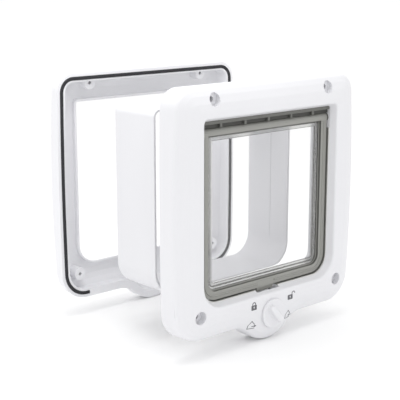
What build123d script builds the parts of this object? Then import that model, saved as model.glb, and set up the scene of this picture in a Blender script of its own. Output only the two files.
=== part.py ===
"""Four-way cat flap: clear door in a room-side bezel, sliding tunnel and outside frame."""
import os

from build123d import *

os.makedirs("parts", exist_ok=True)

# All sizes are in millimetres. +X is to the right seen from the room, +Y points out of the house
# and +Z is up. The origin is on the passage axis, on the room face of the door.

# Passage that the cat walks through
passage_half_width = 84.0
passage_half_height = 83.8
passage_top_corner = 2.0
passage_bottom_corner = 20.0

# Outline shared by both frames
wall = 2.5
side_band = 33.5
head_band = 30.0
foot_band = 31.4
frame_top_corner = 18.0
frame_bottom_corner = 29.0
rim_bow = 1.5
edge_bow = 5.0
lobe_radius = 36.0
lobe_drop = 18.5
lobe_blend = 30.0
crown_inset = 21.0
crown_steps = 3
edge_round = 4.5
smallest_corner = 1.5
overcut = 5.0
pick_range = 0.01

# Room-side frame
inner_edge_depth = 19.0
inner_face_depth = 25.0
lip_flare = 3.0
lip_round = 2.5
reveal_depth = 7.5
inner_spigot = 8.0
socket_gap = 0.8
socket_rib = 2.0
socket_recess = 1.0

# Fixing screws through both frames
upper_hole_inset = 10.5
upper_hole_rise = 19.3
lower_hole_outset = 7.0
lower_hole_drop = 7.5
hole_radius = 2.6
hole_mouth_radius = 6.2
hole_seat = 18.0
boss_wall = 1.6
pilot_radius = 1.75
pilot_depth = 10.5
pilot_boss_radius = 6.5
pilot_boss_recess = 6.0

# Hinge
hinge_y = -11.5
hinge_drop = 11.5
barrel_radius = 4.25
axle_radius = 1.6
axle_press = 0.02
axle_running = 0.05
bush_radius = 3.0
bush_flange_radius = 4.2
bush_press = 0.05
rail_end_gap = 0.4
rail_height = 3.4
rail_depth = 9.0
rail_behind_axle = 3.5
rail_rib_count = 5
rail_rib_spacing = 30.0
rail_rib_width = 2.4
rail_rib_gap = 0.3
rail_pocket = 2.5

# Swinging flap
seal_thickness = 1.2
seal_depth = 8.3
seal_set_in = 0.2
seal_below_hinge = 10.3
flap_gap = 0.8
rim_thickness = 7.6
rim_band = 8.0
rim_ledge = 1.5
rim_ledge_drop = 2.2
panel_thickness = 2.0
panel_groove = 4.0
panel_fit = 0.05
panel_top_bite = 1.4
border_width = 5.5
border_head = 3.0
border_thickness = 3.0
border_fit = 0.1
tab_half_width = 11.0
tab_height = 6.5
tab_thickness = 8.0
tongue_thickness = 6.0
tongue_drop = 3.8
magnet_length = 12.0
magnet_width = 3.0
magnet_height = 3.0
magnet_x = 35.0
magnet_fit = 0.05

# Four-way lock
knob_drop = 22.6
drum_gap = 0.6
stop_thickness = 1.8
stop_reach = 3.0
stop_room = 0.6
tab_play = 0.8
slot_half_width = 15.0
slot_depth = 2.8
slot_front = 2.1
front_arc_start = -115.0
front_arc_end = 25.0
rear_arc_half = 25.0
dial_radius = 14.0
dial_thickness = 2.4
dial_gap = 0.3
dial_margin = 1.5
dial_round = 1.0
grip_length = 23.0
grip_width = 6.0
grip_height = 5.0
grip_angle = 129.0
grip_round = 1.6
grip_blend = 1.3
shaft_radius = 5.0
shaft_running = 0.06
square_size = 6.0
square_fit = 0.05
hub_radius = 7.2
hub_flat = 6.3
hub_front_gap = 0.4
square_stop = 0.2
screw_radius = 1.5
screw_hole_gap = 0.1
screw_head_radius = 2.8
screw_head_height = 1.3
screw_bite = 6.0
washer_radius = 6.0
washer_thickness = 0.6
spring_thickness = 0.6
spring_half_length = 14.0
spring_width = 3.0
spring_gap = 0.3
spring_front_gap = 2.0
spring_post = 4.0
plate_thickness = 2.0
plate_gap = 2.3
plate_half_length = 39.0
plate_band = 11.0
plate_corner = 3.5
plate_screw_x = 34.0
plate_screw_rise = 7.2
plate_post_radius = 3.6
plate_room = 0.4
plate_foot_room = 0.9
plate_screw_radius = 1.3
plate_head_radius = 2.6
plate_head_height = 1.4
plate_screw_bite = 8.0

# Tunnel between the frames
tunnel_play = 0.5
tunnel_wall = 2.5
tunnel_length = 57.7
tunnel_start = 41.0
tunnel_round = 0.8
tunnel_line_from_front = 24.0
tunnel_line_width = 0.8
tunnel_line_depth = 0.4

# Outside frame
outer_rim_y = 154.5
outer_edge_depth = 14.0
outer_face_depth = 22.0
collar_height = 4.5
collar_round = 0.8
outer_lip_flare = 3.0
outer_reveal_depth = 6.0
gasket_inset = 3.0
gasket_width = 3.6
gasket_depth = 4.0
gasket_proud = 1.0
gasket_inner_wall = 1.6
gasket_fit = 0.1
gasket_end_inset = 33.5

# Worked-out places
frame_half_width = passage_half_width + side_band
frame_top = passage_half_height + head_band
frame_bottom = -(passage_half_height + foot_band)
lobe_bottom = frame_bottom - lobe_drop
lobe_z = lobe_bottom + lobe_radius
upper_hole_x = passage_half_width - upper_hole_inset
upper_hole_z = passage_half_height + upper_hole_rise
lower_hole_x = passage_half_width + lower_hole_outset
lower_hole_z = -(passage_half_height + lower_hole_drop)
hinge_z = passage_half_height - hinge_drop
rail_half_length = passage_half_width - rail_end_gap
seal_top = hinge_z - seal_below_hinge
knob_z = -(passage_half_height + knob_drop)
plate_screw_z = knob_z + plate_screw_rise
gasket_end_x = frame_half_width - gasket_end_inset
inner_throat_y = -(inner_face_depth - reveal_depth)
seal_back = inner_throat_y + seal_set_in + seal_depth
flap_half_width = passage_half_width - seal_thickness - flap_gap
flap_bottom = -(passage_half_height - seal_thickness - flap_gap)
flap_corner = passage_bottom_corner - seal_thickness - flap_gap
rim_width = rim_band + rim_ledge
tongue_bottom = flap_bottom - tongue_drop
drum_radius = tongue_bottom - drum_gap - knob_z
stop_radius = drum_radius + stop_reach
drum_front = hinge_y - tongue_thickness / 2 - tab_play
drum_back = hinge_y + tongue_thickness / 2 + tab_play
rotor_front = drum_front - stop_thickness
rotor_back = drum_back + stop_thickness
face_inside = -(inner_face_depth - wall)
tunnel_inner = wall + tunnel_play
tunnel_outer = tunnel_inner + tunnel_wall
rib_inner = tunnel_outer + socket_gap
rib_outer = rib_inner + socket_rib
outer_lip_y = outer_rim_y + outer_face_depth
outer_throat_y = outer_lip_y - outer_reveal_depth
collar_y = outer_lip_y - wall - collar_height
gasket_land = gasket_inset + gasket_width + gasket_inner_wall
plate_front = rotor_back + plate_gap
plate_top = -(passage_half_height + rib_outer + plate_room)
plate_radius = knob_z - lobe_bottom - wall - plate_foot_room
spring_top = knob_z - hub_radius - spring_gap
spring_back = face_inside + spring_front_gap + spring_width
lip_y = -inner_face_depth
bush_inner_x = passage_half_width - seal_thickness
bush_outer_x = passage_half_width + wall


def at_depth(depth):
    """Upright sketch plane across the passage at the given place along Y."""
    return Plane.XZ.offset(-depth)


def passage(depth, grow):
    """Passage outline, grown outwards by the given amount."""
    with BuildSketch(at_depth(depth)) as outline:
        Rectangle(2 * (passage_half_width + grow), 2 * (passage_half_height + grow))
        fillet(outline.vertices().group_by(Axis.Y)[-1], passage_top_corner + grow)
        fillet(outline.vertices().group_by(Axis.Y)[0], passage_bottom_corner + grow)
    return outline.sketch


def frame_outline(depth, inset, bow):
    """Outline of a frame with bowed sides and the lock lobe at its foot, set in from the edge."""
    half_middle = frame_half_width - inset
    half_end = half_middle - bow
    top = frame_top - inset
    bottom = frame_bottom + inset
    middle = (top + bottom) / 2
    with BuildSketch(at_depth(depth)) as outline:
        with BuildLine():
            Line((-half_end, top), (half_end, top))
            ThreePointArc((half_end, top), (half_middle, middle), (half_end, bottom))
            Line((half_end, bottom), (-half_end, bottom))
            ThreePointArc((-half_end, bottom), (-half_middle, middle), (-half_end, top))
        make_face()
        fillet(outline.vertices().group_by(Axis.Y)[-1], max(frame_top_corner - inset, smallest_corner))
        fillet(outline.vertices().group_by(Axis.Y)[0], max(frame_bottom_corner - inset, smallest_corner))
        with Locations((0, lobe_z)):
            Circle(lobe_radius - inset)
        joins = outline.vertices().group_by(Axis.Y)[0].sort_by(Axis.X)
        fillet(joins[1:3], lobe_blend + inset)
    return outline.sketch


def frame_form(rim, side, inset, crown, edge_depth, face_depth):
    """Outlines of a frame's form, from its rim over the edge and up the crown to its face."""
    outlines = [
        frame_outline(rim, inset, rim_bow),
        frame_outline(rim + side * edge_depth, inset, edge_bow),
    ]
    for step in range(1, crown_steps + 1):
        share = step / crown_steps
        rise = (face_depth - edge_depth) * (1 - (1 - share) ** 2)
        depth = rim + side * (edge_depth + rise)
        outlines.append(frame_outline(depth, inset + share * crown, edge_bow))
    return outlines


def screw_circles(depth, radius):
    """A circle at each of the four fixing screws."""
    with BuildSketch(at_depth(depth)) as circles:
        for side in (-1, 1):
            with Locations((side * upper_hole_x, upper_hole_z), (side * lower_hole_x, lower_hole_z)):
                Circle(radius)
    return circles.sketch


def lock_circle(depth, radius):
    """A circle round the lock's axis."""
    with BuildSketch(at_depth(depth)) as circle:
        with Locations((0, knob_z)):
            Circle(radius)
    return circle.sketch


def block(depth, x, z, width, height):
    """A rectangle across the passage, centred at x and z."""
    with BuildSketch(at_depth(depth)) as rectangle:
        with Locations((x, z)):
            Rectangle(width, height)
    return rectangle.sketch


def flap_outline(depth, inset, top):
    """Outline of the flap below the given height, set in from its sides and foot."""
    foot = flap_bottom + inset
    with BuildSketch(at_depth(depth)) as outline:
        with Locations((0, (top + foot) / 2)):
            Rectangle(2 * (flap_half_width - inset), top - foot)
        fillet(outline.vertices().group_by(Axis.Y)[0], flap_corner - inset)
    return outline.sketch


def hinge_circle(radius, x=0):
    """A circle round the hinge axis at the given place along X."""
    with BuildSketch(Plane.YZ.offset(x)) as circle:
        with Locations((hinge_y, hinge_z)):
            Circle(radius)
    return circle.sketch


def plate_post(side, depth, radius):
    """A circle at one of the lock cover's two screws."""
    with BuildSketch(at_depth(depth)) as circle:
        with Locations((side * plate_screw_x, plate_screw_z)):
            Circle(radius)
    return circle.sketch


def stop_arc(depth, start, end):
    """A sector of a lock stop between two angles, seen from the room."""
    with BuildSketch(at_depth(depth)) as sector:
        with BuildLine():
            arc = CenterArc((0, knob_z), stop_radius, start, end - start)
            Line((0, knob_z), arc @ 0)
            Line((0, knob_z), arc @ 1)
        make_face()
    return sector.sketch


def edges_at(part, depth):
    """Edges of a part that lie at the given place along Y."""
    return part.edges().filter_by_position(Axis.Y, depth - pick_range, depth + pick_range)


def mouth_edges(part, depth, reach):
    """Edges at the given place along Y that lie no further than reach outside the passage."""
    half_width = passage_half_width + reach + pick_range
    half_height = passage_half_height + reach + pick_range
    edges = edges_at(part, depth).filter_by_position(Axis.X, -half_width, half_width)
    return edges.filter_by_position(Axis.Z, -half_height, half_height)


def gasket_strip(start, fit):
    """Strip over the top, down both sides and round the bottom corners of the outside frame's rim."""
    length = outer_rim_y + gasket_depth - start
    foot_height = 2 * (lobe_z - lobe_bottom)
    with BuildPart() as strip:
        extrude(frame_outline(start, gasket_inset + fit, rim_bow), amount=-length)
        inner = frame_outline(start, gasket_inset + gasket_width - fit, rim_bow)
        extrude(inner, amount=-length, mode=Mode.SUBTRACT)
        drain = block(start, 0, frame_bottom, 2 * (gasket_end_x + fit), foot_height)
        extrude(drain, amount=-length, mode=Mode.SUBTRACT)
    return strip.part


# Hollow of the room-side frame, with its bosses, posts, throat and tunnel socket left standing
with BuildPart() as inner_hollow:
    hollow_edge = inner_edge_depth + overcut - wall / 2
    hollow_face = inner_face_depth + overcut - wall
    loft(frame_form(overcut, -1, wall, crown_inset, hollow_edge, hollow_face), ruled=True)
    boss_radius = hole_mouth_radius + boss_wall
    extrude(screw_circles(overcut, boss_radius), amount=overcut + inner_face_depth, mode=Mode.SUBTRACT)
    extrude(passage(-socket_recess, rib_outer), amount=inner_face_depth, mode=Mode.SUBTRACT)
    extrude(passage(-socket_recess, rib_inner), amount=-face_inside - socket_recess)
    extrude(passage(overcut, wall), amount=overcut - inner_throat_y, mode=Mode.SUBTRACT)
    flare = [passage(inner_throat_y, wall), passage(lip_y, lip_flare + wall)]
    loft(flare, ruled=True, mode=Mode.SUBTRACT)
    lock_room = lock_circle(plate_front, stop_radius + stop_room)
    extrude(lock_room, amount=plate_front - rotor_front + stop_room)
    for side in (-1, 1):
        extrude(plate_post(side, plate_front, plate_post_radius), amount=inner_face_depth, mode=Mode.SUBTRACT)
        post_z = spring_top - spring_thickness - spring_post / 2
        post = block(spring_back, side * spring_half_length, post_z, spring_post, spring_post)
        extrude(post, amount=inner_face_depth, mode=Mode.SUBTRACT)

# Room-side frame: crowned bezel with the throat, the knob hole and the slot for the latch tongue
with BuildPart() as interior_frame:
    loft(frame_form(0, -1, 0, crown_inset, inner_edge_depth, inner_face_depth), ruled=True)
    fillet(edges_at(interior_frame, -inner_edge_depth), edge_round)
    dial_seat = lock_circle(-inner_edge_depth, dial_radius + dial_margin)
    extrude(dial_seat, amount=inner_face_depth - inner_edge_depth)
    add(inner_hollow.part, mode=Mode.SUBTRACT)
    extrude(passage(inner_spigot, wall), amount=inner_spigot - inner_throat_y)
    extrude(passage(inner_spigot, 0), amount=inner_spigot - inner_throat_y, mode=Mode.SUBTRACT)
    loft([passage(inner_throat_y, 0), passage(lip_y, lip_flare)], ruled=True, mode=Mode.SUBTRACT)
    fillet(mouth_edges(interior_frame, lip_y, lip_flare), lip_round)
    extrude(screw_circles(0, hole_radius), amount=inner_face_depth, mode=Mode.SUBTRACT)
    extrude(screw_circles(-hole_seat, hole_mouth_radius), amount=inner_face_depth, mode=Mode.SUBTRACT)
    shaft_bore = lock_circle(face_inside + wall, shaft_radius + shaft_running)
    extrude(shaft_bore, amount=2 * wall + overcut, mode=Mode.SUBTRACT)
    slot = block(inner_spigot, 0, -passage_half_height, 2 * slot_half_width, 2 * slot_depth)
    extrude(slot, amount=inner_spigot - inner_throat_y + slot_front, mode=Mode.SUBTRACT)
    lock_room = lock_circle(rotor_back + stop_room, stop_radius + stop_room)
    extrude(lock_room, amount=rotor_back - rotor_front + 2 * stop_room, mode=Mode.SUBTRACT)
    for side in (-1, 1):
        pilot = plate_post(side, plate_front, plate_screw_radius + screw_hole_gap)
        extrude(pilot, amount=plate_screw_bite + wall, mode=Mode.SUBTRACT)
    bush_bore = hinge_circle(bush_radius + bush_press)
    extrude(bush_bore, amount=bush_outer_x + wall, both=True, mode=Mode.SUBTRACT)
interior_frame.part.label = "interior_frame"
export_step(interior_frame.part, "parts/interior_frame.step")

# Grey rail under the head of the throat, with short ribs down towards the barrel
with BuildPart() as hinge_rail:
    rail_top = passage_half_height
    rail_back = hinge_y + rail_behind_axle
    rib_foot = hinge_z + barrel_radius + rail_rib_gap
    rib_height = rail_top - rib_foot
    rib_middle = (rail_top + rib_foot) / 2
    with BuildSketch(at_depth(rail_back)) as rail:
        with Locations((0, rail_top - rail_height / 2)):
            Rectangle(2 * rail_half_length, rail_height)
        fillet(rail.vertices().group_by(Axis.Y)[-1], passage_top_corner)
    extrude(rail.sketch, amount=rail_depth)
    with BuildSketch(at_depth(rail_back)) as rail_ribs:
        with Locations((0, rib_middle)):
            with GridLocations(rail_rib_spacing, 1, rail_rib_count, 1):
                Rectangle(rail_rib_width, rib_height)
    extrude(rail_ribs.sketch, amount=rail_depth)
    wall_middle = (rail_top - rail_height + rib_foot) / 2
    wall_height = rail_top - rail_height - rib_foot
    back_wall = block(rail_back, 0, wall_middle, 2 * rail_half_length, wall_height)
    extrude(back_wall, amount=rail_depth - rail_pocket)
hinge_rail.part.label = "hinge_rail"
export_step(hinge_rail.part, "parts/hinge_rail.step")

# Flanged bushes in the sides of the throat
for side, name in ((-1, "axle_bush_left"), (1, "axle_bush_right")):
    with BuildPart() as axle_bush:
        flange = hinge_circle(bush_flange_radius, side * bush_inner_x)
        extrude(flange, amount=side * seal_thickness)
        sleeve = hinge_circle(bush_radius, side * bush_inner_x)
        extrude(sleeve, amount=side * (bush_outer_x - bush_inner_x))
        axle_bore = hinge_circle(axle_radius + axle_running)
        extrude(axle_bore, amount=bush_outer_x + wall, both=True, mode=Mode.SUBTRACT)
    axle_bush.part.label = name
    export_step(axle_bush.part, f"parts/{name}.step")

# Draught strip along the sides and the sill of the throat, open at the tongue's slot
with BuildPart() as draught_seal:
    extrude(passage(seal_back, 0), amount=seal_depth)
    extrude(passage(seal_back, -seal_thickness), amount=seal_depth, mode=Mode.SUBTRACT)
    above = block(seal_back, 0, seal_top + frame_top, 4 * passage_half_width, 2 * frame_top)
    extrude(above, amount=seal_depth, mode=Mode.SUBTRACT)
    gap = block(seal_back, 0, -passage_half_height, 2 * slot_half_width, 4 * seal_thickness)
    extrude(gap, amount=seal_depth, mode=Mode.SUBTRACT)
draught_seal.part.label = "draught_seal"
export_step(draught_seal.part, "parts/draught_seal.step")

# Cover over the back of the lock, with its two screws
with BuildPart() as lock_back_plate:
    with BuildSketch(at_depth(plate_front + plate_thickness)) as cover:
        with Locations((0, knob_z)):
            Circle(plate_radius)
        with Locations((0, plate_screw_z)):
            Rectangle(2 * plate_half_length, plate_band)
        fillet(cover.vertices().sort_by(Axis.X)[:2], plate_corner)
        fillet(cover.vertices().sort_by(Axis.X)[-2:], plate_corner)
        with Locations((0, plate_top + plate_radius)):
            Rectangle(4 * plate_radius, 2 * plate_radius, mode=Mode.SUBTRACT)
    extrude(cover.sketch, amount=plate_thickness)
    for side in (-1, 1):
        hole = plate_post(side, plate_front + plate_thickness, plate_screw_radius + screw_hole_gap)
        extrude(hole, amount=plate_thickness, mode=Mode.SUBTRACT)
lock_back_plate.part.label = "lock_back_plate"
export_step(lock_back_plate.part, "parts/lock_back_plate.step")

with BuildPart() as lock_plate_screws:
    for side in (-1, 1):
        head_back = plate_front + plate_thickness + plate_head_height
        extrude(plate_post(side, head_back, plate_head_radius), amount=plate_head_height)
        shank = plate_post(side, head_back, plate_screw_radius)
        extrude(shank, amount=head_back - plate_front + plate_screw_bite)
lock_plate_screws.part.label = "lock_plate_screws"
export_step(lock_plate_screws.part, "parts/lock_plate_screws.step")

# Leaf spring that clicks on the flats of the lock's hub
with BuildPart() as detent_spring:
    leaf_z = spring_top - spring_thickness / 2
    leaf = block(spring_back, 0, leaf_z, 2 * spring_half_length + spring_post, spring_thickness)
    extrude(leaf, amount=spring_width)
detent_spring.part.label = "detent_spring"
export_step(detent_spring.part, "parts/detent_spring.step")

# Closing magnets: one pair under the sill, one pair in the foot of the flap
magnet_back = hinge_y + magnet_width / 2
with BuildPart() as sill_magnets:
    sill_magnet_z = -(passage_half_height + wall) - magnet_height / 2
    for side in (-1, 1):
        magnet = block(magnet_back, side * magnet_x, sill_magnet_z, magnet_length, magnet_height)
        extrude(magnet, amount=magnet_width)
sill_magnets.part.label = "sill_magnets"
export_step(sill_magnets.part, "parts/sill_magnets.step")

with BuildPart() as flap_magnets:
    flap_magnet_z = flap_bottom + magnet_height / 2
    for side in (-1, 1):
        magnet = block(magnet_back, side * magnet_x, flap_magnet_z, magnet_length, magnet_height)
        extrude(magnet, amount=magnet_width)
flap_magnets.part.label = "flap_magnets"
export_step(flap_magnets.part, "parts/flap_magnets.step")

# Grey surround of the flap: hinge barrel, stepped rim, tab and latch tongue
panel_top = hinge_z - barrel_radius + panel_top_bite
groove_inset = rim_width - panel_groove
with BuildPart() as flap_rim:
    extrude(flap_outline(hinge_y, 0, hinge_z), amount=rim_thickness / 2, both=True)
    ledge_half = rim_thickness / 2 - rim_ledge_drop
    for face_side in (-1, 1):
        step = flap_outline(hinge_y + face_side * ledge_half, rim_band, hinge_z + barrel_radius)
        extrude(step, amount=-face_side * rim_thickness, mode=Mode.SUBTRACT)
    window = flap_outline(hinge_y, rim_width, hinge_z + barrel_radius)
    extrude(window, amount=rim_thickness, both=True, mode=Mode.SUBTRACT)
    tab = block(hinge_y, 0, flap_bottom + tab_height / 2, 2 * tab_half_width, tab_height)
    extrude(tab, amount=tab_thickness / 2, both=True)
    tongue_height = tongue_drop + tab_height
    tongue = block(hinge_y, 0, tongue_bottom + tongue_height / 2, 2 * tab_half_width, tongue_height)
    extrude(tongue, amount=tongue_thickness / 2, both=True)
    extrude(hinge_circle(barrel_radius), amount=flap_half_width, both=True)
    axle_bore = hinge_circle(axle_radius + axle_press)
    extrude(axle_bore, amount=flap_half_width + wall, both=True, mode=Mode.SUBTRACT)
    groove = flap_outline(hinge_y, groove_inset, panel_top)
    extrude(groove, amount=panel_thickness / 2 + panel_fit, both=True, mode=Mode.SUBTRACT)
    for side in (-1, 1):
        pocket_height = 2 * (magnet_height + magnet_fit)
        pocket = block(hinge_y, side * magnet_x, flap_bottom, magnet_length + 2 * magnet_fit, pocket_height)
        extrude(pocket, amount=magnet_width / 2 + magnet_fit, both=True, mode=Mode.SUBTRACT)
flap_rim.part.label = "flap_rim"
export_step(flap_rim.part, "parts/flap_rim.step")

# Clear panel with a raised border inside the rim
with BuildPart() as flap_panel:
    border_top = hinge_z - barrel_radius - border_fit
    border_inset = rim_width + border_fit
    extrude(flap_outline(hinge_y, border_inset, border_top), amount=border_thickness / 2, both=True)
    view = flap_outline(hinge_y, border_inset + border_width, border_top - border_head)
    extrude(view, amount=border_thickness / 2, both=True, mode=Mode.SUBTRACT)
    sheet = flap_outline(hinge_y, groove_inset + panel_fit, panel_top - panel_fit)
    extrude(sheet, amount=panel_thickness / 2, both=True)
flap_panel.part.label = "flap_panel"
export_step(flap_panel.part, "parts/flap_panel.step")

with BuildPart() as hinge_axle:
    extrude(hinge_circle(axle_radius), amount=bush_outer_x, both=True)
hinge_axle.part.label = "hinge_axle"
export_step(hinge_axle.part, "parts/hinge_axle.step")

# Lock knob: dial, grip bar, round shaft and the square that drives the rotor
dial_back = lip_y - dial_gap
dial_front = dial_back - dial_thickness
square_back = rotor_back - square_stop
with BuildPart() as lock_knob:
    extrude(lock_circle(dial_back, dial_radius), amount=dial_thickness)
    fillet(edges_at(lock_knob, dial_front), dial_round)
    with BuildSketch(at_depth(dial_front)) as grip:
        with Locations(Location((0, knob_z), grip_angle)):
            SlotOverall(grip_length, grip_width)
    extrude(grip.sketch, amount=grip_height)
    grip_front = dial_front - grip_height
    fillet(edges_at(lock_knob, grip_front), grip_round)
    grip_foot = edges_at(lock_knob, dial_front).sort_by(SortBy.LENGTH)[:4]
    fillet(grip_foot, grip_blend)
    extrude(lock_circle(dial_back, shaft_radius), amount=-(face_inside - dial_back))
    extrude(block(face_inside, 0, knob_z, square_size, square_size), amount=-(square_back - face_inside))
    extrude(lock_circle(square_back, screw_radius + screw_hole_gap), amount=screw_bite, mode=Mode.SUBTRACT)
lock_knob.part.label = "lock_knob"
export_step(lock_knob.part, "parts/lock_knob.step")

# Lock rotor stacked on the square: front stop with its flatted hub, drum under the tongue, rear stop
socket_size = square_size + 2 * square_fit
with BuildPart() as front_stop:
    extrude(lock_circle(drum_front, drum_radius), amount=stop_thickness)
    extrude(stop_arc(drum_front, front_arc_start, front_arc_end), amount=stop_thickness)
    with BuildSketch(at_depth(rotor_front)) as hub:
        with Locations((0, knob_z)):
            Circle(hub_radius)
            Rectangle(2 * hub_flat, 2 * hub_flat, mode=Mode.INTERSECT)
    extrude(hub.sketch, amount=rotor_front - face_inside - hub_front_gap)
    socket = block(drum_front, 0, knob_z, socket_size, socket_size)
    extrude(socket, amount=drum_front - face_inside, mode=Mode.SUBTRACT)
front_stop.part.label = "front_stop"
export_step(front_stop.part, "parts/front_stop.step")

with BuildPart() as lock_drum:
    extrude(lock_circle(drum_back, drum_radius), amount=drum_back - drum_front)
    socket = block(drum_back, 0, knob_z, socket_size, socket_size)
    extrude(socket, amount=drum_back - drum_front, mode=Mode.SUBTRACT)
lock_drum.part.label = "lock_drum"
export_step(lock_drum.part, "parts/lock_drum.step")

with BuildPart() as rear_stop:
    extrude(lock_circle(rotor_back, drum_radius), amount=stop_thickness)
    for turn in (0, 180):
        sector = stop_arc(rotor_back, turn - rear_arc_half, turn + rear_arc_half)
        extrude(sector, amount=stop_thickness)
    socket = block(rotor_back, 0, knob_z, socket_size, socket_size)
    extrude(socket, amount=stop_thickness, mode=Mode.SUBTRACT)
rear_stop.part.label = "rear_stop"
export_step(rear_stop.part, "parts/rear_stop.step")

with BuildPart() as knob_washer:
    washer_back = rotor_back + washer_thickness
    extrude(lock_circle(washer_back, washer_radius), amount=washer_thickness)
    washer_bore = lock_circle(washer_back, screw_radius + screw_hole_gap)
    extrude(washer_bore, amount=washer_thickness, mode=Mode.SUBTRACT)
knob_washer.part.label = "knob_washer"
export_step(knob_washer.part, "parts/knob_washer.step")

with BuildPart() as knob_screw:
    head_back = rotor_back + washer_thickness + screw_head_height
    extrude(lock_circle(head_back, screw_head_radius), amount=screw_head_height)
    shank_length = head_back - square_back + screw_bite - screw_hole_gap
    extrude(lock_circle(head_back, screw_radius), amount=shank_length)
knob_screw.part.label = "knob_screw"
export_step(knob_screw.part, "parts/knob_screw.step")

# Tunnel that slides over the spigots of both frames
with BuildPart() as tunnel:
    extrude(passage(tunnel_start, tunnel_outer), amount=-tunnel_length)
    extrude(passage(tunnel_start, tunnel_inner), amount=-tunnel_length, mode=Mode.SUBTRACT)
    fillet(edges_at(tunnel, tunnel_start) + edges_at(tunnel, tunnel_start + tunnel_length), tunnel_round)
    line_y = tunnel_start + tunnel_line_from_front
    line_height = 2 * passage_half_height - passage_bottom_corner
    for side in (-1, 1):
        line_x = side * (passage_half_width + tunnel_inner)
        line = block(line_y, line_x, passage_bottom_corner / 2, 2 * tunnel_line_depth, line_height)
        extrude(line, amount=-tunnel_line_width, mode=Mode.SUBTRACT)
tunnel.part.label = "tunnel"
export_step(tunnel.part, "parts/tunnel.step")

# Hollow of the outside frame, with its pilot bosses and the tunnel's low collar left standing
with BuildPart() as outer_hollow:
    hollow_rim = outer_rim_y - overcut
    hollow_edge = outer_edge_depth + overcut - wall / 2
    hollow_face = outer_face_depth + overcut - wall
    hollow_crown = crown_inset + wall - gasket_land
    loft(frame_form(hollow_rim, 1, gasket_land, hollow_crown, hollow_edge, hollow_face), ruled=True)
    bosses = screw_circles(outer_rim_y + pilot_boss_recess, pilot_boss_radius)
    extrude(bosses, amount=-outer_face_depth, mode=Mode.SUBTRACT)
    pillar_width = 2 * pilot_boss_radius
    pillar_height = frame_top - upper_hole_z
    pillar_z = upper_hole_z + pillar_height / 2
    for side in (-1, 1):
        boss_face = outer_rim_y + pilot_boss_recess
        pillar = block(boss_face, side * upper_hole_x, pillar_z, pillar_width, pillar_height)
        extrude(pillar, amount=-outer_face_depth, mode=Mode.SUBTRACT)
    extrude(passage(collar_y, wall), amount=-outer_face_depth, mode=Mode.SUBTRACT)

# Outside frame: crowned shell with a gasket groove round its rim
gasket_groove = gasket_strip(outer_rim_y, 0)
with BuildPart() as exterior_frame:
    loft(frame_form(outer_rim_y, 1, 0, crown_inset, outer_edge_depth, outer_face_depth), ruled=True)
    outer_edge_y = outer_rim_y + outer_edge_depth
    fillet(edges_at(exterior_frame, outer_edge_y), edge_round)
    add(outer_hollow.part, mode=Mode.SUBTRACT)
    extrude(passage(outer_rim_y, 0), amount=-outer_face_depth, mode=Mode.SUBTRACT)
    fillet(mouth_edges(exterior_frame, collar_y, wall), collar_round)
    loft([passage(outer_throat_y, 0), passage(outer_lip_y, outer_lip_flare)], ruled=True, mode=Mode.SUBTRACT)
    pilots = screw_circles(outer_rim_y, pilot_radius)
    extrude(pilots, amount=-(pilot_boss_recess + pilot_depth), mode=Mode.SUBTRACT)
    add(gasket_groove, mode=Mode.SUBTRACT)
exterior_frame.part.label = "exterior_frame"
export_step(exterior_frame.part, "parts/exterior_frame.step")

# Black gasket over the top, down both sides and round the bottom corners
with BuildPart() as weather_seal:
    add(gasket_strip(outer_rim_y - gasket_proud, gasket_fit))
weather_seal.part.label = "weather_seal"
export_step(weather_seal.part, "parts/weather_seal.step")
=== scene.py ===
"""Dresses the cat flap: moulded plastics, soft edges, pile strips, screws, printed signs and a studio."""
import math

import bmesh
import bpy
from bpy.props import FloatProperty, FloatVectorProperty, IntProperty, PointerProperty
from bpy.types import Operator, Panel, PropertyGroup
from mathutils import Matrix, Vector
from mathutils.bvhtree import BVHTree


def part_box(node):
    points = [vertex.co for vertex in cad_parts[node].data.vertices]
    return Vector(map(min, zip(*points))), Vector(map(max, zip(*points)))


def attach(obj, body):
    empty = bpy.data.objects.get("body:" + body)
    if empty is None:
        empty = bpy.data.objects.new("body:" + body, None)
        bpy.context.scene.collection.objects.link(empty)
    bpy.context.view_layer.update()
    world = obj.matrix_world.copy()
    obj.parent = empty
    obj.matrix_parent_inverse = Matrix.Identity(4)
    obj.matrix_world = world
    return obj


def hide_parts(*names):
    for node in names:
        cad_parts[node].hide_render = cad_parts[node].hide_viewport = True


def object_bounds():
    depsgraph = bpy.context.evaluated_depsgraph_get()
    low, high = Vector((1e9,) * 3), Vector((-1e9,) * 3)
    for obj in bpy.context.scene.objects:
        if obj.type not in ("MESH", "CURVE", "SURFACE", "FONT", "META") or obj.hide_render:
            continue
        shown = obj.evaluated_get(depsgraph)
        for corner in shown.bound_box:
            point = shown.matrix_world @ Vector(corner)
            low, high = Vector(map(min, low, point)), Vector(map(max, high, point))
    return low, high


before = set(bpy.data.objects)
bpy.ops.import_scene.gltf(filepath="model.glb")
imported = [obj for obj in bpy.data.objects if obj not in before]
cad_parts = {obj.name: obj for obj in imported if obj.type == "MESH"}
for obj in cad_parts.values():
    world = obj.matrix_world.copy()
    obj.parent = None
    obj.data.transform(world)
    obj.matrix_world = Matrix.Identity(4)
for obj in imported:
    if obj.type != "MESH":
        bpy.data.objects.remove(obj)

bl_info = {
    "name": "Cat Flap Dresser",
    "version": (1, 0, 0),
    "blender": (4, 5, 0),
    "location": "View3D > Sidebar > Cat Flap",
    "description": "Gives the packed cat flap its finishes, small details and studio",
    "category": "Object",
}

CAD_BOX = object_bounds()
MM = 0.001
ROOM_BODY = "inner_frame_body"
FLAP_BODY = "flap_body"
LOCK_BODY = "lock_body"
OUTSIDE_BODY = "outer_frame_body"
MERGE_REACH = 1e-6
FLAT_ANGLE = math.radians(0.5)
SHARP_ANGLE = math.radians(35)
FOLD_ANGLE = math.radians(50)


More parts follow.
